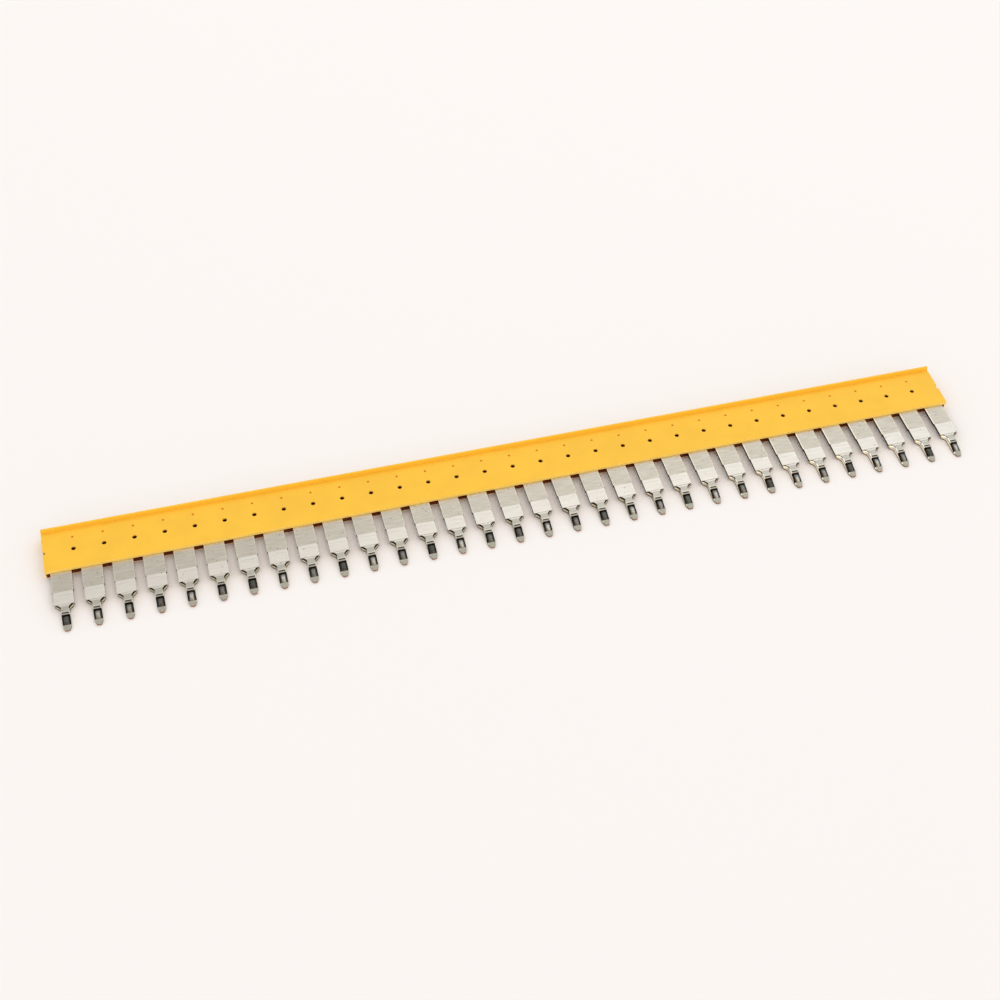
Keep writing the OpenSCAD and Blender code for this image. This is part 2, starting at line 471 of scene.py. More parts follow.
@dataclass(frozen=True)
class HousingPlastic:
    """Yellow moulded nylon, satin, with painted shade: a deeper orange on upright faces and round
    the dimples, dark down the holes and in the slot, and a front edge painted lighter.

    Attributes:
        colour: The open faces' colour.
        upright: Painted shade: the deeper orange of the rib's front face, the cut ends and the
            shallow step.
        edge: Painted light: the lighter colour of the front face below the top, where the light
            shines into the plastic.
        sunk: Painted shade: the darker orange round the dimples.
        deep: Painted shade: the dark colour of plastic that is seen down a hole or in the slot.
        cloudy: Share of the colour that is left in a cloud.
        end_share: Share of the upright colour that the cut ends take.
        step_share: Share of it on the shallow step before the rib.
        dimple_share: Share of the sunk colour that a dimple takes.
        rough: Roughness of the smoothest and of the roughest grain.
        shine: Strength of its plain reflection.
        grain_depth: Height of the grain.
        grain_shown: Share of that height that shows.
        hole_row: Back edge to the row of holes.
        bore_r: Radius within which a hole's wall is in shade.
        dimple_row: Back edge to the row of dimples.
        dimple_r: Radius of the painted shade round a dimple.
        spot_soft: Share of a spot's radius over which it fades, to each side.
        step_row: Back edge to the front of the shallow step.
        turned: How far a face is turned to a side where it starts to, and does, count as upright.
        bore_shade: Top face to where the shade in a hole starts and is full.
        slot_shade: Top face to where the shade in the slot starts and is full.
        lip: Front edge to where the slot's shade starts and is full.
        back_wall: Back edge to where that shade is full and ends.
        sole: Underside to the same.
        cut_end: Each cut end to the same.
    """

    colour: Colour = (0.985, 0.575, 0.045)
    upright: Colour = (0.95, 0.60, 0.05)
    edge: Colour = (1.0, 0.70, 0.16)
    sunk: Colour = (0.88, 0.33, 0.02)
    deep: Colour = (0.16, 0.018, 0.0)
    cloudy: float = 0.95
    end_share: float = 0.4
    step_share: float = 0.08
    dimple_share: float = 0.6
    rough: Span = (0.41, 0.54)
    shine: float = 0.28
    grain_depth: float = 0.012 * MM
    grain_shown: float = 0.35
    hole_row: float = 7.6 * MM
    bore_r: float = 0.875 * MM
    dimple_row: float = 3.65 * MM
    dimple_r: float = 0.42 * MM
    spot_soft: float = 0.15
    step_row: float = 1.4 * MM
    turned: Span = (0.3, 0.8)
    bore_shade: Span = (0.2 * MM, 0.55 * MM)
    slot_shade: Span = (0.4 * MM, 0.75 * MM)
    lip: Span = (0.1 * MM, 0.38 * MM)
    back_wall: Span = (0.02 * MM, 0.5 * MM)
    sole: Span = (0.02 * MM, 0.2 * MM)
    cut_end: Span = (0.02 * MM, 0.3 * MM)

    def material(self, sizes: BarSizes, grain: MouldedGrain, pole: PoleMap) -> bpy.types.Material:
        """Builds the material.

        Args:
            sizes: The bar's sizes.
            grain: The group for the moulded surface.
            pole: The group that finds a point's place in its pole.

        Returns:
            The finished material.
        """
        made, sheet, shader = new_material("housing_plastic")
        point, facing = object_point(sheet)
        place = pole.place(sheet, point=point, pitch=sizes.pitch, start=sizes.x_start)
        surface = grain.place(sheet, point=point)
        base = self._faces(sheet, sizes, place, facing, surface["Cloud"])
        beside = sheet.minus(sizes.pitch / 2, sheet.size(place["Across"]))
        from_back = sheet.minus(place["Along"], sizes.y_back)
        # Painted shade: a darker orange spot round each dimple.
        dimple = self._spot(sheet, beside, sheet.plus(from_back, self.dimple_row), self.dimple_r)
        base = sheet.colour(sheet.times(dimple, self.dimple_share), base, self.sunk)
        # Painted shade: dark down the holes and in the slot.
        hole = self._spot(sheet, beside, sheet.plus(from_back, self.hole_row), self.bore_r)
        from_middle = sheet.size(sheet.split(point)["X"])
        shade = self._shade(sheet, sizes, place, hole, from_middle)
        sheet.feed(shader.inputs["Base Color"], sheet.colour(shade, base, self.deep))
        sheet.feed(shader.inputs["Roughness"], sheet.blend(surface["Grain"], *self.rough))
        sheet.feed(shader.inputs["Normal"],
                   sheet.bump(surface["Grain"], self.grain_shown, self.grain_depth))
        shader.inputs["Specular IOR Level"].default_value = self.shine
        return made

    def _faces(self, sheet: Sheet, sizes: BarSizes, place: bpy.types.NodeOutputs,
               facing: bpy.types.NodeOutputs, cloud: Link) -> Link:
        """The colour of the open faces, with painted shade on the rib, the cut ends and the shallow
        step, and painted light on the front edge.

        Args:
            sheet: The material's tree.
            sizes: The bar's sizes.
            place: The pole map's outputs.
            facing: The normal's X, Y and Z.
            cloud: The surface's cloudiness.

        Returns:
            The colour.
        """
        height, roof = place["Height"], sizes.z_roof
        start, full = self.turned
        clouded = tuple(self.cloudy * part for part in self.colour)
        base = sheet.colour(sheet.step(cloud, 0.3, 0.7), clouded, self.colour)
        front = sheet.step(facing["Y"], -start, -full)
        # Painted shade: the rib's front face, the cut ends and the shallow step before the rib take
        # a deeper orange.
        rib = sheet.times(front, sheet.step(height, roof - 0.1 * MM, roof))
        # Painted light: the front face below the top takes a lighter yellow.
        lower = sheet.times(front, sheet.step(height, roof, roof - 0.2 * MM))
        ends = sheet.times(sheet.step(sheet.size(facing["X"]), start, full), self.end_share)
        ledge = sheet.times(sheet.above(place["Along"], sizes.y_back - self.step_row, 0.05 * MM),
                            sheet.below(height, roof - 0.04 * MM, 0.02 * MM), self.step_share)
        base = sheet.colour(sheet.most(rib, ends, ledge), base, self.upright)
        return sheet.colour(lower, base, self.edge)

    def _spot(self, sheet: Sheet, beside: Link, away: Link, radius: float) -> Link:
        """A round mask at each pitch boundary.

        Args:
            sheet: The tree.
            beside: Distance from the nearest pitch boundary.
            away: Distance from the row, along Y.
            radius: The mask's radius.

        Returns:
            The mask.
        """
        squares = sheet.plus(sheet.times(beside, beside), sheet.times(away, away))
        return sheet.below(sheet.math(Op.SQRT, squares), radius, radius * self.spot_soft)

    def _shade(self, sheet: Sheet, sizes: BarSizes, place: bpy.types.NodeOutputs, hole: Link,
               from_middle: Link) -> Link:
        """How much painted shade a point takes for lying deep in the slot or down a hole.

        Args:
            sheet: The material's tree.
            sizes: The bar's sizes.
            place: The pole map's outputs.
            hole: Mask of the holes.
            from_middle: Distance from the bar's middle, along X.

        Returns:
            The shade, from 0 to 1.
        """
        along, height = place["Along"], place["Height"]

        def inwards(value: Link, face: float, span: Span) -> Link:
            """A mask that grows from a face towards lower values."""
            return sheet.step(value, face - span[0], face - span[1])

        bored = sheet.times(hole, inwards(height, sizes.z_roof, self.bore_shade))
        buried = sheet.most(inwards(height, sizes.z_roof, self.slot_shade), bored)
        inside = sheet.step(along, *(sizes.y_front + reach for reach in self.lip))
        return sheet.times(buried, inside, inwards(along, sizes.y_back, self.back_wall),
                           sheet.step(height, *self.sole),
                           inwards(from_middle, -sizes.x_start, self.cut_end))


@dataclass(frozen=True)
class FingerStations:
    """Where a finger's form changes, as distances in front of the housing's front edge.

    Attributes:
        bend: The flat stretch's end, where the ramp starts.
        side: The cut sides' end, where the folded walls start.
        ramp_end: The ramp's end between the shoulders.
        neck: The pin's start.
        groove: The pressed groove's middle.
        window: The window's near edge.
        sill: The window's far edge.
    """

    bend: float = 6.55 * MM
    side: float = 10.6 * MM
    ramp_end: float = 11.05 * MM
    neck: float = 12.045 * MM
    groove: float = 13.245 * MM
    window: float = 13.845 * MM
    sill: float = 16.645 * MM

    def placed(self, y_front: float) -> "FingerStations":
        """The same places along Y."""
        return FingerStations(*(y_front - reach for reach in astuple(self)))


@dataclass(frozen=True)
class TinnedStrip:
    """Tin-plated copper strip: bright rolled faces, dark cut edges and bare copper ends, with
    painted light and shade on its stretches, edges, walls, groove and window frames.

    Attributes:
        blade: Colour of the flat stretch between the housing and the bend.
        beside: Painted reflection: its colour right next to the housing, lighter and cooler so that
            the housing's reflection there shows light yellow.
        ramp: Painted light: a lighter tone of the same tin on the stretch between the bend and the
            shoulders.
        neck: Painted shade: a darker tone of the same tin on the stretch between the shoulders.
        strip: Painted light: a lighter tone of the same tin on the strip between the neck and the
            pressed groove.
        sill: Painted shade: a darker tone of the same tin on the strip between the groove and the
            window.
        tip: Painted shade: a darker tone of the same tin on the pin's tip.
        flange: Colour of the folded walls.
        flange_glint: Painted reflection: the walls' lighter colour where the fingers catch the
            light.
        edge_glint: Painted highlight: the light line along a finger's upper edges.
        cut_dark_and_shade: Colour of the cut edges, partly their own dark bare copper and partly
            painted shade; also of the rolled lines and pits, and of the painted shade in the
            groove, on the window's frame and on the shoulders' walls.
        foot: Colour of the walls' lower edges.
        copper: Colour of the bare metal at the tips.
        crease_share: Share of the neck's colour painted as shade in the crease past the bend.
        scratch_share: Share of the ramp's colour in a scratch.
        line_share: Share of the sheared colour in a rolled line, on the ramp and on the blade.
        speck_share: Share of it in a pit.
        groove_share: Share of it painted as shade in the groove.
        pocket_share: Share of it painted as shade in the pocket under a shoulder.
        edge_glint_share: Share of that highlight where the fingers catch the light and where they
            do not.
        foot_share: Share of the foot's colour.
        rough: Roughness of the smoothest and of the roughest rolled faces.
        grain_depth: Height of the rolled lines.
        grain_shown: Share of that height that shows.
        fold_rough: Roughness of the folded walls.
        fold_foot: Height at which those walls start to lean inwards.
        fold_radius: Radius of that lean.
        stations: Where a finger's form changes.
        crease: Bend to the crease's near and far side.
        crease_half: Half the crease's width, where its ends start and have faded.
        shoulder: Growth of the neck's half width with the distance from it.
        strip_near: Groove to the near end of the strip before it.
        pin_half: Half the pin's width.
        ramp_half: Half the ramp's width.
        flare: Distance from a finger's middle to where its walls' lower edges start to rise.
        z_neck: Height of the pin's top at its neck.
        sheet_t: Thickness of the sheet.
        dim_reflection_poles: Poles between which the walls' painted reflection goes from light to
            dim.
        wall_drop: Factors a and b of the curve t (a - b t) that says how deep the painted shade
        reaches on a wall with a dim reflection, where t goes from 0 at the neck to 1 at the sides.
        bright_drop: The depth to which the painted shade reaches on a wall that catches the light.
    """

    blade: Colour = (0.56, 0.525, 0.45)
    beside: Colour = (0.80, 0.84, 0.95)
    ramp: Colour = (0.71, 0.68, 0.62)
    neck: Colour = (0.475, 0.46, 0.40)
    strip: Colour = (0.59, 0.56, 0.49)
    sill: Colour = (0.385, 0.365, 0.32)
    tip: Colour = (0.415, 0.41, 0.345)
    flange: Colour = (0.60, 0.56, 0.42)
    flange_glint: Colour = (1.0, 0.90, 0.72)
    edge_glint: Colour = (0.95, 0.87, 0.68)
    cut_dark_and_shade: Colour = (0.016, 0.009, 0.005)
    foot: Colour = (0.13, 0.07, 0.03)
    copper: Colour = (0.42, 0.15, 0.06)
    crease_share: float = 0.7
    scratch_share: float = 0.3
    line_share: Span = (0.08, 0.16)
    speck_share: float = 0.5
    groove_share: float = 0.95
    pocket_share: float = 0.75
    edge_glint_share: Span = (0.75, 0.15)
    foot_share: float = 0.85
    rough: Span = (0.28, 0.44)
    grain_depth: float = 0.006 * MM
    grain_shown: float = 0.5
    fold_rough: float = 0.16
    fold_foot: float = 0.6 * MM
    fold_radius: float = 1.2 * MM
    stations: FingerStations = field(default_factory=FingerStations)
    crease: Span = (1.0 * MM, 1.1 * MM)
    crease_half: Span = (1.7 * MM, 2.1 * MM)
    shoulder: float = 0.4
    strip_near: float = 0.55 * MM
    pin_half: float = 1.08 * MM
    ramp_half: float = 2.525 * MM
    flare: float = 1.8 * MM
    z_neck: float = 1.75 * MM
    sheet_t: float = 0.8 * MM
    dim_reflection_poles: Span = (27.0, 18.0)
    wall_drop: Span = (2.1 * MM, 1.65 * MM)
    bright_drop: float = 0.12 * MM

    def material(self, sizes: BarSizes, lines: RolledLines, pole: PoleMap) -> bpy.types.Material:
        """Builds the material.

        Args:
            sizes: The bar's sizes.
            lines: The group for the rolled surface.
            pole: The group that finds a point's place in its pole.

        Returns:
            The finished material.
        """
        made, sheet, shader = new_material("tinned_copper")
        point, facing = object_point(sheet)
        place = pole.place(sheet, point=point, pitch=sizes.pitch, start=sizes.x_start)
        surface = lines.place(sheet, point=point)
        at = self.stations.placed(sizes.y_front)
        base = self._rolled(sheet, at, sizes.y_front, place, surface)
        base = self._folded(sheet, at, place, facing, base)
        base = self._feet(sheet, sizes.y_tip, place, base)
        sheet.feed(shader.inputs["Base Color"], base)
        shader.inputs["Metallic"].default_value = 1.0
        beyond = sheet.below(place["Along"], at.side, 0.1 * MM)
        sloping = sheet.step(sheet.size(facing["Z"]), 0.98, 0.8)
        rolled = sheet.blend(surface["Lines"], *self.rough)
        sheet.feed(shader.inputs["Roughness"],
                   sheet.blend(sheet.times(beyond, sloping), rolled, self.fold_rough))
        fine = sheet.bump(surface["Lines"], self.grain_shown, self.grain_depth)
        rise = sheet.most(sheet.minus(place["Height"], self.fold_foot), 0.0)
        bulge = sheet.math(Op.DIVIDE, sheet.times(rise, rise), -2.0 * self.fold_radius)
        sheet.feed(shader.inputs["Normal"],
                   sheet.bump(sheet.times(bulge, beyond), 1.0, 1.0, under=fine))
        return made

    def _rolled(self, sheet: Sheet, at: FingerStations, y_front: float,
                place: bpy.types.NodeOutputs, surface: bpy.types.NodeOutputs) -> Link:
        """The colour of the upper faces, from the housing to the tip, in painted lit and shaded
        tones of the tin.

        Args:
            sheet: The material's tree.
            at: The finger's stations along Y.
            y_front: The housing's front edge.
            place: The pole map's outputs.
            surface: The rolled lines' outputs.

        Returns:
            The colour.
        """
        along, across = place["Along"], sheet.size(place["Across"])
        # Painted reflection: next to the housing the tin takes a lighter, cooler colour, which
        # turns the housing's reflection there light yellow.
        beside = sheet.step(along, y_front - 1.1 * MM, y_front - 0.1 * MM)
        blade = sheet.colour(beside, self.blade, self.beside)
        # Painted light and shade: each stretch along the finger takes a lighter or darker tone of
        # the same tin, by how the light falls on it.
        base = sheet.colour(sheet.below(along, at.bend, 0.06 * MM), blade, self.ramp)
        # Painted shade in the crease past the bend.
        crease = sheet.band(along, at.bend - self.crease[1], at.bend - self.crease[0], 0.06 * MM)
        inward = sheet.step(across, *reversed(self.crease_half))
        base = sheet.colour(sheet.times(crease, inward, self.crease_share), base, self.neck)
        widening = sheet.times(sheet.minus(along, at.neck), self.shoulder)
        middle = sheet.step(sheet.minus(across, widening), self.pin_half + 0.12 * MM, self.pin_half)
        base = sheet.colour(sheet.times(middle, sheet.below(along, at.ramp_end, 0.08 * MM)), base,
                            self.neck)
        for low, high, shade in ((at.groove, at.groove + self.strip_near, self.strip),
                                 (at.window - 0.1 * MM, at.groove, self.sill)):
            base = sheet.colour(sheet.band(along, low, high, 0.1 * MM), base, shade)
        base = sheet.colour(sheet.below(along, at.sill, 0.03 * MM), base, self.tip)

        base = sheet.colour(sheet.times(surface["Scratches"], self.scratch_share), base, self.ramp)
        on_blade = sheet.above(along, at.bend, 0.3 * MM)
        lines = sheet.times(sheet.step(surface["Lines"], 0.35, 0.65),
                            sheet.blend(on_blade, *self.line_share))
        # Painted shade: the dark band in the groove; the rolled lines and pits above are the tin's
        # own marks.
        groove = sheet.band(along, at.groove - 0.2 * MM, at.groove + 0.16 * MM, 0.05 * MM)
        for mask in (lines, sheet.times(surface["Specks"], self.speck_share),
                     sheet.times(groove, self.groove_share)):
            base = sheet.colour(mask, base, self.cut_dark_and_shade)
        return base

    def _folded(self, sheet: Sheet, at: FingerStations, place: bpy.types.NodeOutputs,
                facing: bpy.types.NodeOutputs, base: Link) -> Link:
        """Lays the painted highlights on the upper edges, the folded walls with their painted
        reflection and shade, the dark cut edges and the window frame's painted shade over the
        rolled colour.

        Args:
            sheet: The material's tree.
            at: The finger's stations along Y.
            place: The pole map's outputs.
            facing: The normal's X, Y and Z.
            base: The upper faces' colour.

        Returns:
            The colour.
        """
        along, height = place["Along"], place["Height"]
        across, level = sheet.size(place["Across"]), sheet.size(facing["Z"])
        plate = sheet.above(along, at.side, 0.05 * MM)
        # Cut edges: their own dark bare copper, darkened further as painted shade.
        cut_edge = sheet.times(sheet.step(level, 0.6, 0.4), plate)
        # Painted reflection: the right-hand fingers' left halves catch the light; the other fingers
        # and all right halves take the dim colours.
        dim_reflection = sheet.most(sheet.step(place["Pole"], *self.dim_reflection_poles),
                          sheet.above(place["Across"], 0.0, 0.1 * MM))
        # Painted highlight: a light line along the upper edges of the flat stretch, strong where
        # the finger catches the light.
        edge_glint = sheet.above(across, self.ramp_half - 0.11 * MM, 0.05 * MM)
        base = sheet.colour(sheet.times(edge_glint, plate, sheet.blend(dim_reflection, *self.edge_glint_share)), base,
                            self.edge_glint)

        turn = sheet.math(Op.DIVIDE, sheet.minus(along, at.neck), at.side - at.neck, clamp=True)
        curve = sheet.times(sheet.step(level, 0.99, 0.9),
                            sheet.above(across, self.pin_half - 0.21 * MM, 0.03 * MM),
                            sheet.step(along, at.side, at.side - 0.04 * MM))
        # Painted reflection: the folded walls are lighter where they catch the light.
        base = sheet.colour(curve, base, sheet.colour(dim_reflection, self.flange_glint, self.flange))
        # Painted shade: a dark wedge high on the walls under each shoulder, reaching deeper where
        # the reflection is dim, and a dark pocket near the neck.
        drop, less = self.wall_drop
        shaded = sheet.times(turn, sheet.minus(drop, sheet.times(turn, less)))
        depth = sheet.blend(dim_reflection, self.bright_drop, shaded)
        over_foot = sheet.minus(height, sheet.minus(self.z_neck, depth))
        dark_part = sheet.times(curve, sheet.above(over_foot, -0.01 * MM, 0.05 * MM))
        pocket = sheet.times(curve, dim_reflection, sheet.step(turn, 0.5, 0.3), self.pocket_share)
        wedge = sheet.times(sheet.above(along, at.neck, 0.04 * MM), sheet.most(dark_part, pocket))

        # Painted shade: the window's frame round the spring is dark.
        in_window = sheet.band(along, at.sill + 0.02 * MM, at.window + 0.06 * MM, 0.03 * MM)
        inner = sheet.below(across, self.pin_half - 0.03 * MM, 0.02 * MM)
        frame_face = sheet.most(inner, sheet.step(facing["Z"], 0.3, 0.6))
        wall_top = sheet.times(in_window, frame_face, sheet.above(height, 0.2 * MM, 0.1 * MM))
        return sheet.colour(sheet.most(cut_edge, wall_top, wedge), base, self.cut_dark_and_shade)

    def _feet(self, sheet: Sheet, y_tip: float, place: bpy.types.NodeOutputs, base: Link) -> Link:
        """Lays the walls' brown lower edges and the bare copper of the tips over the colour.

        Args:
            sheet: The material's tree.
            y_tip: The pins' tips.
            place: The pole map's outputs.
            base: The colour so far.

        Returns:
            The whole colour.
        """
        height = place["Height"]
        out = sheet.minus(sheet.size(place["Across"]), self.flare)
        climb = (self.z_neck - self.sheet_t) / (self.ramp_half - self.flare)
        over_edge = sheet.minus(height, sheet.most(sheet.times(out, climb), 0.0))
        low = sheet.times(sheet.step(over_edge, 0.45 * MM, 0.28 * MM), self.foot_share)
        tip = sheet.times(sheet.below(place["Along"], y_tip + 0.06 * MM, 0.04 * MM),
                          sheet.step(height, 0.62 * MM, 0.45 * MM))
        return sheet.colour(tip, sheet.colour(low, base, self.foot), self.copper)


@dataclass(frozen=True)
class SpringStrip:
    """Dark spring strip with a high polish and a painted glint, strong on each third spring and
    weaker on the next.

    Attributes:
        colour: The strip's colour.
        bright: Painted highlight: the colour of a spring's glint.
        edge: The dark colour of the rolled lines, and painted shade along its rolled-down edges and
            the end towards the housing.
        fineness: Fineness of the rolled lines.
        line_share: Share of the edge's colour in a line.
        glint_share: How much of the painted glint shows away from its spot and in it.
        rough: Roughness of the smoothest and of the roughest parts.
    """

    colour: Colour = (0.095, 0.092, 0.078)
    bright: Colour = (0.62, 0.60, 0.53)
    edge: Colour = (0.018, 0.02, 0.018)
    fineness: float = 5000.0
    line_share: float = 0.35
    glint_share: Span = (0.3, 1.0)
    rough: Span = (0.23, 0.38)

    def material(self, lines: RolledLines) -> bpy.types.Material:
        """Builds the material.

        Args:
            lines: The group for the rolled surface.

        Returns:
            The finished material.
        """
        made, sheet, shader = new_material("spring_steel")
        point, facing = object_point(sheet)
        surface = lines.place(sheet, point=point, fineness=self.fineness)["Lines"]
        tone = sheet.node("ShaderNodeAttribute", attribute_name=SpringRow.TONE).outputs["Fac"]
        across = sheet.size(facing["X"])
        # Painted highlight: a glint in the leaf's middle, as strong as its tone.
        spot = sheet.times(sheet.step(across, 0.45, 0.1), sheet.band(facing["Y"], -0.7, -0.1, 0.3))
        glint_mask = sheet.times(sheet.step(tone, 0.0, 1.0), sheet.blend(spot, *self.glint_share))
        base = sheet.colour(glint_mask, self.colour, self.bright)
        worn = sheet.times(sheet.step(surface, 0.35, 0.7), self.line_share)
        # Painted shade: dark along the rolled-down sides and the end that faces the housing; the
        # rolled lines above are the strip's own.
        rolled = sheet.most(sheet.step(across, 0.25, 0.55), sheet.step(facing["Y"], 0.02, 0.25))
        for mask in (worn, rolled):
            base = sheet.colour(mask, base, self.edge)
        sheet.feed(shader.inputs["Base Color"], base)
        shader.inputs["Metallic"].default_value = 1.0
        sheet.feed(shader.inputs["Roughness"], sheet.blend(surface, *self.rough))
        return made


@dataclass(frozen=True)
class PaleTable:
    """Matt, nearly white table top.

    Attributes:
        colour: The top's colour.
        rough: Roughness of its surface.
        shine: Strength of its plain reflection.
    """

    colour: Colour = (0.955, 0.935, 0.92)
    rough: float = 0.85
    shine: float = 0.1

    def material(self) -> bpy.types.Material:
        """Builds the material."""
        made, _, shader = new_material("pale_table")
        for name, value in (("Base Color", rgba(self.colour)), ("Roughness", self.rough),
                            ("Specular IOR Level", self.shine)):
            shader.inputs[name].default_value = value
        return made


class SpringRow:
    """Geometry Nodes tree that makes one bowed and crowned leaf in each pin's window."""

    TONE = "tone"
    INPUTS = (("Geometry", "Geometry"), ("Count", "Int"), ("First", "Vector"),
              *((name, "Float") for name in ("Pitch", "Width", "Length", "Bow radius",
                                             "Crown radius", "Thickness", "Rise", "Slope",
                                             "Spread")),
              ("Seed", "Int"), ("Finish", "Material"))
    CELLS = {"Vertices X": 11, "Vertices Y": 23}
    WELD = 0.001 * MM
    CRISP_ANGLE = math.radians(40)
    GLINT_CYCLE = 3.0
    GLINT_TONES: Span = (0.75, 0.3)
    CHANCE_TONE = 0.12

    def __init__(self) -> None:
        """Builds the tree."""
        self.tree = bpy.data.node_groups.new("spring_row", "GeometryNodeTree")
        for name, kind in self.INPUTS:
            self.tree.interface.new_socket(name, in_out="INPUT", socket_type="NodeSocket" + kind)
        self.tree.interface.new_socket("Geometry", in_out="OUTPUT",
                                       socket_type="NodeSocketGeometry")
        sheet = Sheet(self.tree)
        given = sheet.node("NodeGroupInput").outputs
        row = self._row(sheet, given, self._leaf(sheet, given))
        realized = sheet.node("GeometryNodeRealizeInstances", {"Geometry": row}).outputs[0]
        dressed = sheet.node("GeometryNodeSetMaterial",
                             {"Geometry": realized, "Material": given["Finish"]}).outputs[0]
        sheet.node("NodeGroupOutput", {"Geometry": dressed})

    @staticmethod
    def _sagitta(sheet: Sheet, run: Link, radius: Link) -> Link:
        """How far an arc has fallen below its top.

        Args:
            sheet: The tree.
            run: Distance from the arc's top.
            radius: The arc's radius.

        Returns:
            The fall, which is 0 or less.
        """
        squares = sheet.minus(sheet.math(Op.POWER, radius, 2.0),
                              sheet.math(Op.POWER, sheet.size(run), 2.0))
        return sheet.minus(sheet.math(Op.SQRT, squares), radius)

    def _leaf(self, sheet: Sheet, given: bpy.types.NodeOutputs) -> Link:
        """One leaf, a closed shell with its top face's middle at the origin, raised by Rise.

        Args:
            sheet: The tree.
            given: The tree's inputs.

        Returns:
            The leaf's geometry.
        """
        grid = sheet.node("GeometryNodeMeshGrid", {"Size X": given["Width"],
                                                   "Size Y": given["Length"], **self.CELLS})
        at = sheet.split(sheet.node("GeometryNodeInputPosition").outputs[0])
        axis = sheet.minus(given["Rise"], given["Bow radius"])
        turn = sheet.math(Op.DIVIDE, at["Y"], given["Bow radius"])
        crown = self._sagitta(sheet, at["X"], given["Crown radius"])
        radius = sheet.minus(sheet.plus(given["Bow radius"], crown), given["Thickness"])
        place = sheet.vector(at["X"], sheet.times(radius, sheet.math(Op.SINE, turn)),
                             sheet.plus(axis, sheet.times(radius, sheet.math(Op.COSINE, turn))))
        bent = sheet.node("GeometryNodeSetPosition", {"Geometry": grid.outputs["Mesh"],
                                                      "Position": place}).outputs[0]

        from_axis = sheet.vector(y=at["Y"], z=sheet.minus(at["Z"], axis))
        outward = sheet.node("ShaderNodeVectorMath", {0: from_axis},
                             operation="NORMALIZE").outputs[0]
        up = sheet.node("ShaderNodeVectorMath", {0: outward, "Scale": given["Thickness"]},
                        operation="SCALE")
        thick = sheet.node("GeometryNodeExtrudeMesh", {"Mesh": bent, "Offset": up.outputs[0],
                                                       "Individual": False}, mode="FACES")
        back = sheet.node("GeometryNodeFlipFaces", {0: bent})
        both = sheet.node("GeometryNodeJoinGeometry", {0: thick.outputs["Mesh"]})
        sheet.feed(both.inputs[0], back.outputs[0])
        closed = sheet.node("GeometryNodeMergeByDistance", {"Geometry": both.outputs[0],
                                                            "Distance": self.WELD})
        angle = sheet.node("GeometryNodeInputMeshEdgeAngle").outputs[0]
        corner = sheet.node("FunctionNodeCompare", {0: angle, 1: self.CRISP_ANGLE},
                            data_type="FLOAT", operation="GREATER_THAN")
        smooth = sheet.node("GeometryNodeSetShadeSmooth", {"Geometry": closed.outputs[0]},
                            domain="FACE")
        crisp = {"Geometry": smooth.outputs[0], "Selection": corner.outputs[0],
                 "Shade Smooth": False}
        return sheet.node("GeometryNodeSetShadeSmooth", crisp, domain="EDGE").outputs[0]

    def _row(self, sheet: Sheet, given: bpy.types.NodeOutputs, leaf: Link) -> Link:
        """One leaf at each pole, each seated a little differently and with its own tone of painted
        glint.

        Args:
            sheet: The tree.
            given: The tree's inputs.
            leaf: The leaf's geometry.

        Returns:
            The instances.
        """
        spots = {"Count": given["Count"], "Start Location": given["First"],
                 "Offset": sheet.vector(given["Pitch"])}
        line = sheet.node("GeometryNodeMeshLine", spots, mode="OFFSET").outputs[0]
        chance = [self._random(sheet, given, shift) for shift in range(3)]
        nod = sheet.plus(given["Slope"], sheet.times(chance[0], given["Spread"]))
        turn = sheet.vector(nod, sheet.times(chance[1], given["Spread"]))
        placed = sheet.node("GeometryNodeInstanceOnPoints",
                            {"Points": line, "Instance": leaf, "Rotation": turn}).outputs[0]
        toned = sheet.node("GeometryNodeStoreNamedAttribute",
                           {"Geometry": placed, "Name": self.TONE}, data_type="FLOAT",
                           domain="INSTANCE")
        value = next(s for s in toned.inputs if s.name == "Value" and s.type == "VALUE")
        sheet.feed(value, self._tone(sheet, chance[2]))
        return toned.outputs[0]

    def _tone(self, sheet: Sheet, chance: Link) -> Link:
        """How strong a leaf's painted glint is, going through a repeat of three leaves: none,
        strong and weaker.

        Args:
            sheet: The tree.
            chance: A random value from -1 to 1 at each pole.

        Returns:
            The glint's tone, about 0 to 1.
        """
        index = sheet.node("GeometryNodeInputIndex").outputs[0]
        cycle_place = sheet.minus(sheet.math(Op.MODULO, index, self.GLINT_CYCLE), 1.0)
        middle, last = sheet.minus(1.0, sheet.size(cycle_place)), sheet.most(cycle_place, 0.0)
        by_cycle = sheet.plus(sheet.times(middle, self.GLINT_TONES[0]),
                                sheet.times(last, self.GLINT_TONES[1]))
        by_chance = sheet.plus(sheet.times(chance, self.CHANCE_TONE), self.CHANCE_TONE)
        return sheet.plus(by_cycle, by_chance)

    @staticmethod
    def _random(sheet: Sheet, given: bpy.types.NodeOutputs, shift: int) -> Link:
        """A random value from -1 to 1 at each pole.

        Args:
            sheet: The tree.
            given: The tree's inputs.
            shift: Tells one draw from another.

        Returns:
            The value.
        """
        made = sheet.node("FunctionNodeRandomValue",
                          {"Seed": sheet.plus(given["Seed"], float(shift))}, data_type="FLOAT")
        floats = [socket for socket in made.inputs if socket.type == "VALUE"]
        floats[0].default_value, floats[1].default_value = -1.0, 1.0
        return next(socket for socket in made.outputs if socket.type == "VALUE")


def assign(name: str, material: bpy.types.Material) -> bpy.types.Object:
    """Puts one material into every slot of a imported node.

    Args:
        name: The node's name.
        material: What it is given.

    Returns:
        The node's object.
    """
    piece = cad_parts[name]
    if not piece.material_slots:
        piece.data.materials.append(material)
    for slot in piece.material_slots:
        slot.material = material
    return piece


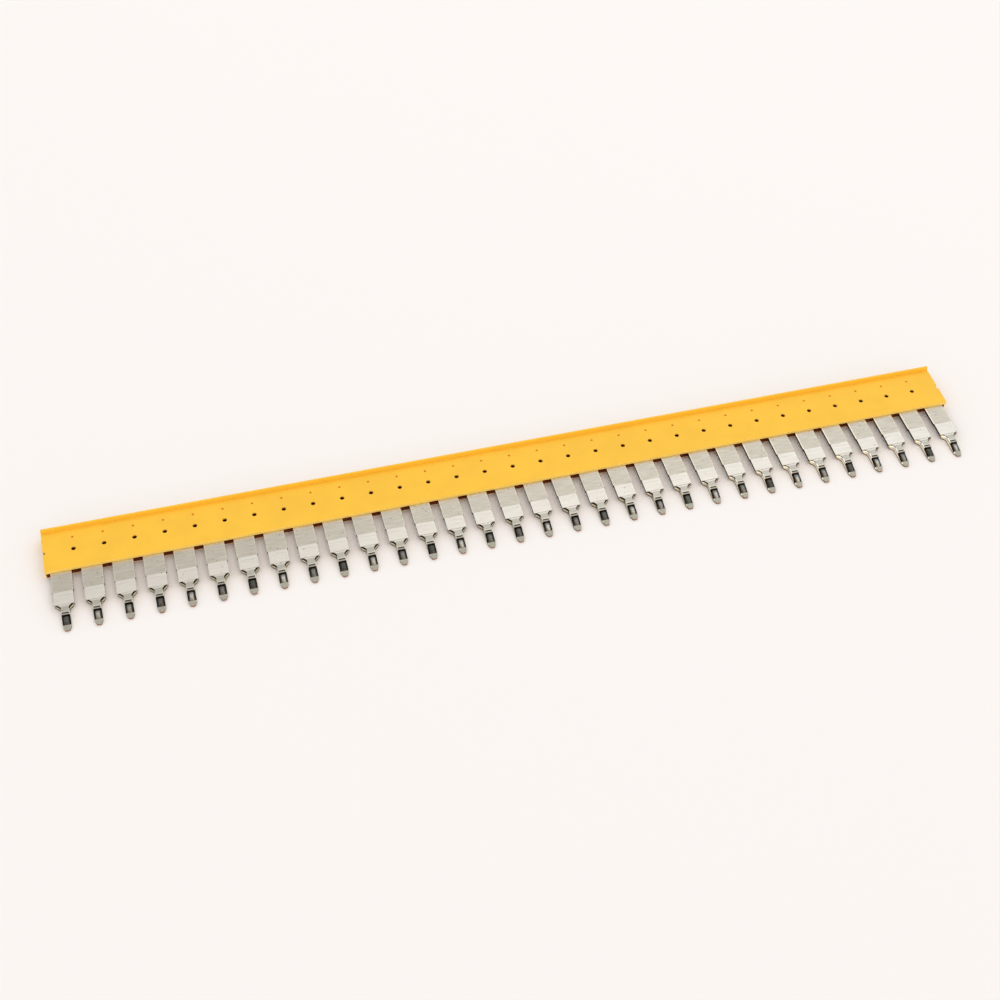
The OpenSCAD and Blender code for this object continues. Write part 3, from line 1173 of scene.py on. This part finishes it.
def linked(name: str, data: bpy.types.ID) -> bpy.types.Object:
    """Adds an object to the scene.

    Args:
        name: The object's name.
        data: Its mesh, lamp or camera.

    Returns:
        The new object.
    """
    made = bpy.data.objects.new(name, data)
    bpy.context.scene.collection.objects.link(made)
    return made


def grown(name: str, tree: bpy.types.NodeTree, values: dict[str, object]) -> bpy.types.Object:
    """Runs a Geometry Nodes tree and keeps its result as a plain mesh.

    Args:
        name: Name of the new object.
        tree: The tree.
        values: Value of each input, by its name.

    Returns:
        The new object, with no modifier.
    """
    made = linked(name, bpy.data.meshes.new(name))
    modifier = made.modifiers.new("row", "NODES")
    modifier.node_group = tree
    for item in tree.interface.items_tree:
        if item.in_out == "INPUT" and item.name in values:
            modifier[item.identifier] = values[item.name]
    graph = bpy.context.evaluated_depsgraph_get()
    graph.update()
    mesh = bpy.data.meshes.new_from_object(made.evaluated_get(graph), depsgraph=graph,
                                           preserve_all_data_layers=True)
    made.modifiers.remove(modifier)
    made.data = mesh
    return made


@dataclass
class Housing:
    """The moulded channel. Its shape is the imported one.

    Attributes:
        sizes: The bar's sizes.
        finish: Its plastic.
    """

    sizes: BarSizes
    finish: HousingPlastic = field(default_factory=HousingPlastic)

    def dress(self, grain: MouldedGrain, pole: PoleMap) -> bpy.types.Object:
        """Gives the channel its plastic."""
        return assign("housing", self.finish.material(self.sizes, grain, pole))


@dataclass
class ContactComb:
    """The stamped and folded strip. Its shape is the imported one.

    Attributes:
        sizes: The bar's sizes.
        finish: Its tinned surface.
    """

    sizes: BarSizes
    finish: TinnedStrip = field(default_factory=TinnedStrip)

    def dress(self, lines: RolledLines, pole: PoleMap) -> bpy.types.Object:
        """Gives the strip its tinned surface."""
        return assign("contact_comb", self.finish.material(self.sizes, lines, pole))


@dataclass
class ContactSprings:
    """The bowed leaves in the pins' windows, made as one row.

    Attributes:
        sizes: The bar's sizes.
        finish: Their strip.
        middle: Housing's front edge to the middle of the windows.
        seat: Height of the pin's top there.
        slope: Fall of the pin's top, as an angle.
        width: Width of a leaf.
        length: Length of a leaf, along its bow.
        bow_radius: Radius of its bow along the pin.
        crown_radius: Radius of its crown across the pin.
        thickness: Its thickness.
        rise: How far the bow stands above the pin's top.
        spread: The most by which a leaf leans, as an angle.
        seed: Start of the random draws.
    """

    sizes: BarSizes
    finish: SpringStrip = field(default_factory=SpringStrip)
    middle: float = 15.245 * MM
    seat: float = 1.25 * MM
    slope: float = math.atan(0.25)
    width: float = 1.6 * MM
    length: float = 3.474 * MM
    bow_radius: float = 2.494 * MM
    crown_radius: float = 1.4 * MM
    thickness: float = 0.2 * MM
    rise: float = 0.15 * MM
    spread: float = math.radians(0.5)
    seed: int = 7

    def build(self, lines: RolledLines) -> bpy.types.Object:
        """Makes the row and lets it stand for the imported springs.

        Args:
            lines: The group for the rolled surface.

        Returns:
            The row's object.
        """
        first = (self.sizes.x_start + self.sizes.pitch / 2, self.sizes.y_front - self.middle,
                 self.seat)
        values = {
            "Count": self.sizes.poles,
            "First": first,
            "Pitch": self.sizes.pitch,
            "Width": self.width,
            "Length": self.length,
            "Bow radius": self.bow_radius,
            "Crown radius": self.crown_radius,
            "Thickness": self.thickness,
            "Rise": self.rise,
            "Slope": self.slope,
            "Spread": self.spread,
            "Seed": self.seed,
            "Finish": self.finish.material(lines),
        }
        made = grown("contact_springs", SpringRow().tree, values)
        springs = sorted(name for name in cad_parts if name.startswith(SPRING))
        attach(made, BODY)
        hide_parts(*springs)
        return made


@dataclass(frozen=True)
class Viewpoint:
    """Where the camera stands and what it sees.

    Attributes:
        aim: The point on the table that the view's middle falls on.
        distance: The camera's distance from it.
        azimuth: Turn of the view's direction from +Y towards +X, in degrees.
        elevation: The camera's height above the table, as an angle in degrees.
        roll: Turn of the camera about its own view, in degrees.
        lens: Focal length in millimetres.
        sensor: Width of the sensor in millimetres.
        clip: The nearest and the farthest distance that it sees.
    """

    aim: tuple[float, float, float] = (-5.8 * MM, -0.24 * MM, 0.0)
    distance: float = 432.03 * MM
    azimuth: float = 15.78
    elevation: float = 49.77
    roll: float = 1.37
    lens: float = 57.4
    sensor: float = 36.0
    clip: Span = (0.01, 10.0)

    def place(self) -> None:
        """Makes the scene's camera."""
        turn, rise = math.radians(self.azimuth), math.radians(self.elevation)
        ahead = Vector((math.sin(turn) * math.cos(rise), math.cos(turn) * math.cos(rise),
                        -math.sin(rise)))
        data = bpy.data.cameras.new("camera")
        data.lens, data.sensor_width = self.lens, self.sensor
        data.clip_start, data.clip_end = self.clip
        made = linked("camera", data)
        made.location = Vector(self.aim) - ahead * self.distance
        made.rotation_mode = "QUATERNION"
        made.rotation_quaternion = (ahead.to_track_quat("-Z", "Y")
                                    @ Quaternion((0, 0, 1), math.radians(self.roll)))
        bpy.context.scene.camera = made


@dataclass(frozen=True)
class Studio:
    """A pale table in a soft tent of light, dimmer behind the camera, with one weak lamp.

    Attributes:
        table: The table's finish.
        table_size: Length of the table's sides.
        front: Strength of the light from the pins' side.
        back: Strength of the light from the housing's side.
        turnover: Y part of the directions between which the front's light gives way to the back's.
        front_tint: Colour of the light from the pins' side.
        back_tint: Colour of the light from the housing's side.
        backdrop: What the camera sees beyond the table.
        middle_tint: Colour that the light has besides, from straight above, before and behind.
        side_tint: The same, from the bar's two ends.
        sideways: X part of the directions between which the one gives way to the other.
        dim_side: The direction of the tent's dimmer part, as a unit vector.
        dim_level: Share of the light that is left there.
        dim_edge: How near to that direction the dimming starts and is full, as a cosine.
        lamp_power: The lamp's power in watts.
        lamp_size: Length of the lamp's sides.
        lamp_at: The lamp's place.
    """

    table: PaleTable = field(default_factory=PaleTable)
    table_size: float = 6.0
    front: float = 1.40
    back: float = 0.905
    turnover: Span = (-0.7, 0.5)
    front_tint: Colour = (1.0, 0.88, 0.785)
    back_tint: Colour = (0.95, 1.01, 1.08)
    backdrop: Colour = (1.0, 0.98, 0.965)
    middle_tint: Colour = (1.07, 0.985, 0.90)
    side_tint: Colour = (0.84, 1.03, 1.20)
    sideways: Span = (0.45, 0.8)
    dim_side: tuple[float, float, float] = (-0.19, -0.62, 0.76)
    dim_level: float = 0.35
    dim_edge: Span = (0.84, 0.97)
    lamp_power: float = 1.2
    lamp_size: float = 0.9
    lamp_at: tuple[float, float, float] = (0.5, 0.75, 0.95)

    def build(self) -> None:
        """Makes the table, the lamp and the sky."""
        self._table()
        self._lamp()
        self._sky()

    def _table(self) -> None:
        """Lays the table's top at Z = 0."""
        mesh = bpy.data.meshes.new("table_top")
        shape = bmesh.new()
        bmesh.ops.create_grid(shape, x_segments=8, y_segments=8, size=self.table_size / 2)
        shape.to_mesh(mesh)
        shape.free()
        mesh.materials.append(self.table.material())
        linked("table_top", mesh)

    def _lamp(self) -> None:
        """Hangs the lamp and points it at the bar."""
        data = bpy.data.lights.new("softbox", "AREA")
        data.energy, data.shape, data.size = self.lamp_power, "SQUARE", self.lamp_size
        made = linked("softbox", data)
        made.location = self.lamp_at
        made.rotation_mode = "QUATERNION"
        made.rotation_quaternion = (-Vector(self.lamp_at)).to_track_quat("-Z", "Y")

    def _sky(self) -> None:
        """Makes the world a tent of tinted light, plain and pale to the camera."""
        world = bpy.data.worlds.new("sky")
        bpy.context.scene.world = world
        world.use_nodes = True
        sheet = Sheet(world.node_tree)
        shown = world.node_tree.nodes["Background"].inputs
        way = sheet.node("ShaderNodeTexCoord").outputs["Generated"]
        direction = sheet.split(way)
        behind = sheet.step(direction["Y"], *self.turnover)
        towards = sheet.node("ShaderNodeVectorMath", {0: way, 1: self.dim_side},
                             operation="DOT_PRODUCT").outputs["Value"]
        dimming = sheet.blend(sheet.step(towards, *self.dim_edge), 1.0, self.dim_level)
        level = sheet.times(sheet.blend(behind, self.front, self.back), dimming)
        seen = sheet.node("ShaderNodeLightPath").outputs["Is Camera Ray"]
        sheet.feed(shown["Strength"], sheet.blend(seen, level, 1.0))
        sideways = sheet.step(sheet.size(direction["X"]), *self.sideways)
        tint = sheet.colour(1.0, sheet.colour(behind, self.front_tint, self.back_tint),
                            sheet.colour(sideways, self.middle_tint, self.side_tint),
                            Blend.MULTIPLY)
        sheet.feed(shown["Color"], sheet.colour(seen, tint, self.backdrop))


def main() -> None:
    """Dresses the bar, sets up the studio and reports each piece."""
    logging.basicConfig(level=logging.INFO, format="%(name)s: %(message)s")
    bpy.context.scene.view_settings.view_transform = "Standard"
    sizes = BarSizes.measured(roof=2.9 * MM, rib=1.1 * MM)
    pole, lines, grain = PoleMap(), RolledLines(), MouldedGrain()
    pieces = [
        Housing(sizes).dress(grain, pole),
        ContactComb(sizes).dress(lines, pole),
        ContactSprings(sizes).build(lines),
    ]
    for piece in pieces:
        log.info("%s: %d faces", piece.name, len(piece.data.polygons))
    Studio().build()
    Viewpoint().place()


if __name__ == "__main__":
    main()
